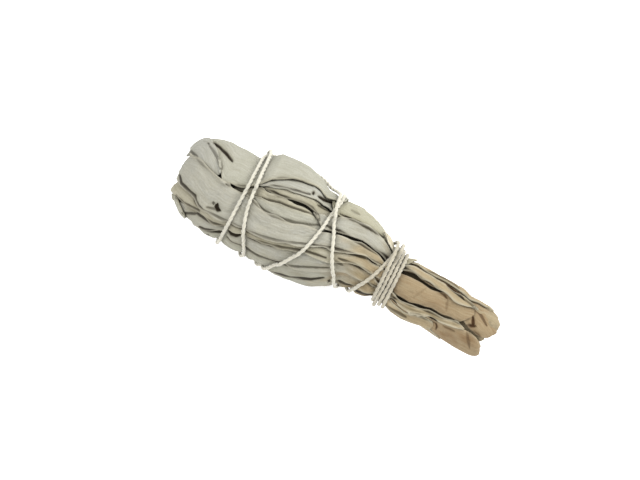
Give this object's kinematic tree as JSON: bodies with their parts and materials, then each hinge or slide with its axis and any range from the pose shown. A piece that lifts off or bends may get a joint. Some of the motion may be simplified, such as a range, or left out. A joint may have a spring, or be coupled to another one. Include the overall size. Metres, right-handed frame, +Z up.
{
  "type": "sage bunch",
  "caption": "Tied bunch of dried white sage: felted leaves laid lengthwise round short sprigs and bound crosswise with cotton string, lying on its side.",
  "frame": {"origin": "centre of the bounding box, on the surface that the bunch lies on", "axes": "+X along the bunch towards its cut stem end, +Z up, +Y across it"},
  "size_m": [0.1026, 0.0344, 0.0322],
  "materials": {
    "pale_leaf": "dry felted leaf, matt",
    "sage_leaf": "dry felted leaf, matt",
    "silver_leaf": "dry felted leaf, matt",
    "yellow_leaf": "dry leaf turned yellow, matt",
    "olive_leaf": "shaded leaf underside, matt",
    "tan_stalk": "dry leaf stalk and base, matt",
    "cream_leaf": "dry woolly leaf, matt",
    "cotton_string": "two-ply cotton, matt"
  },
  "bodies": {
    "root": {"sprig_1": "olive_leaf", "sprig_2": "olive_leaf", "sprig_3": "olive_leaf", "sprig_4": "olive_leaf", "stem_wrap_upper": "tan_stalk", "stem_wrap_lower": "tan_stalk", "stem_sheath": "tan_stalk", "top_strip": "yellow_leaf", "stem_blade": "sage_leaf", "olive_band": "olive_leaf", "under_leaf": "sage_leaf", "low_leaf": "sage_leaf", "flank_leaf": "pale_leaf", "small_fold": "sage_leaf", "rolled_band": "olive_leaf", "fold_leaf": "olive_leaf", "inner_fold": "sage_leaf", "lens_leaf": "silver_leaf", "long_pale_leaf": "pale_leaf", "neck_nub": "cream_leaf", "top_wrap": "sage_leaf", "crown_roll": "silver_leaf", "main_wrap": "pale_leaf", "rest_leaf": "sage_leaf", "back_inner_a": "olive_leaf", "back_inner_b": "tan_stalk", "back_inner_c": "tan_stalk", "back_inner_d": "olive_leaf", "back_middle_a": "sage_leaf", "back_middle_b": "pale_leaf", "back_middle_c": "sage_leaf", "back_outer_a": "silver_leaf", "tie_string": "cotton_string"}
  },
  "joints": []
}
